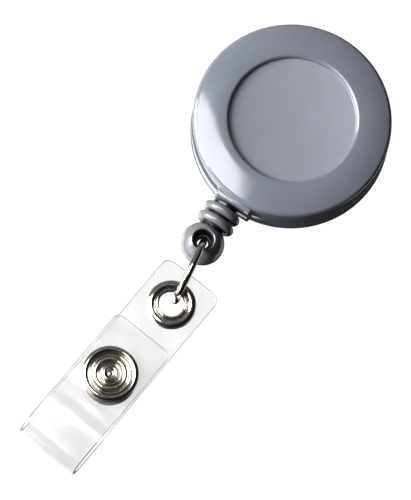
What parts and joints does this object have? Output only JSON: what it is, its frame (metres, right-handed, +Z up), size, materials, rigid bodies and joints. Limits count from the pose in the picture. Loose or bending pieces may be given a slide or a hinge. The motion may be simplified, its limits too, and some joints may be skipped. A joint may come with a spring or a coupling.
{
  "type": "retractable badge reel",
  "caption": "Round spring-wound badge reel with a rear belt clip, a stopper bead, a jump ring and a clear folded strap closed by a press snap.",
  "frame": {"origin": "on the axis of the round case, in the plane of its rear face, where the belt clip is riveted on", "axes": "+Z up as the reel hangs, the face of the case towards -Y, the belt clip towards +Y, the cord leaves downwards"},
  "size_m": [0.032, 0.0163, 0.0839],
  "materials": {
    "case_plastic": "glossy moulded grey, satin in the label recess",
    "spool_plastic": "natural moulded",
    "clip_steel": "nickel plated, satin",
    "nickel": "bright nickel plating",
    "spring_steel": "rolled spring steel",
    "cord": "braided nylon",
    "clear_vinyl": "clear flexible sheet"
  },
  "bodies": {
    "reel": {"front_cover": "case_plastic", "rear_case": "case_plastic", "belt_clip": "clip_steel", "clip_rivet": "nickel", "cord_run": "cord"},
    "spool": {"spool": "spool_plastic", "spool_cover": "spool_plastic", "power_spring": "spring_steel", "cord_winding": "cord", "cord_anchor_knot": "cord"},
    "cord_end": {"cord_tail": "cord"},
    "bead": {"stopper_bead": "case_plastic", "bead_knot": "cord"},
    "ring": {"jump_ring": "nickel"},
    "strap": {"strap_back": "clear_vinyl", "strap_eyelet": "nickel", "eyelet_washer": "nickel", "snap_stud": "nickel", "snap_post": "nickel"},
    "flap": {"strap_flap": "clear_vinyl", "snap_cap": "nickel", "snap_socket": "nickel", "snap_spring": "spring_steel"}
  },
  "joints": [
    {"name": "spool_spin", "type": "hinge", "parent": "reel", "child": "spool", "pos_m": [0, 0, 0], "axis": [0, -1, 0], "range_deg": [0, 4425], "stiffness_Nm_per_rad": 0.00008, "springref_deg": -3437.75, "deforming": ["power_spring"]},
    {"name": "cord_pull", "type": "slide", "parent": "reel", "child": "cord_end", "axis": [0, 0, -1], "range_m": [0, 0.86]},
    {"name": "bead_swivel", "type": "hinge", "parent": "cord_end", "child": "bead", "pos_m": [-0.0019, -0.0042, -0.0241], "axis": [0, 0, 1], "continuous": true},
    {"name": "ring_swing", "type": "hinge", "parent": "bead", "child": "ring", "pos_m": [-0.0019, -0.0042, -0.0241], "axis": [0, 1, 0], "range_deg": [-75, 75]},
    {"name": "strap_swing", "type": "hinge", "parent": "ring", "child": "strap", "pos_m": [-0.00071, -0.0042, -0.03423], "axis": [0, 1, 0], "range_deg": [-60, 60]},
    {"name": "flap_open", "type": "hinge", "parent": "strap", "child": "flap", "pos_m": [-0.00459, -0.00845, -0.06408], "axis": [0.9917, 0, -0.1288], "range_deg": [0, 120], "deforming": ["snap_spring"]}
  ],
  "couplings": [
    {"joint": "spool_spin", "follows": "cord_pull", "rad_per_m": 89.8}
  ]
}
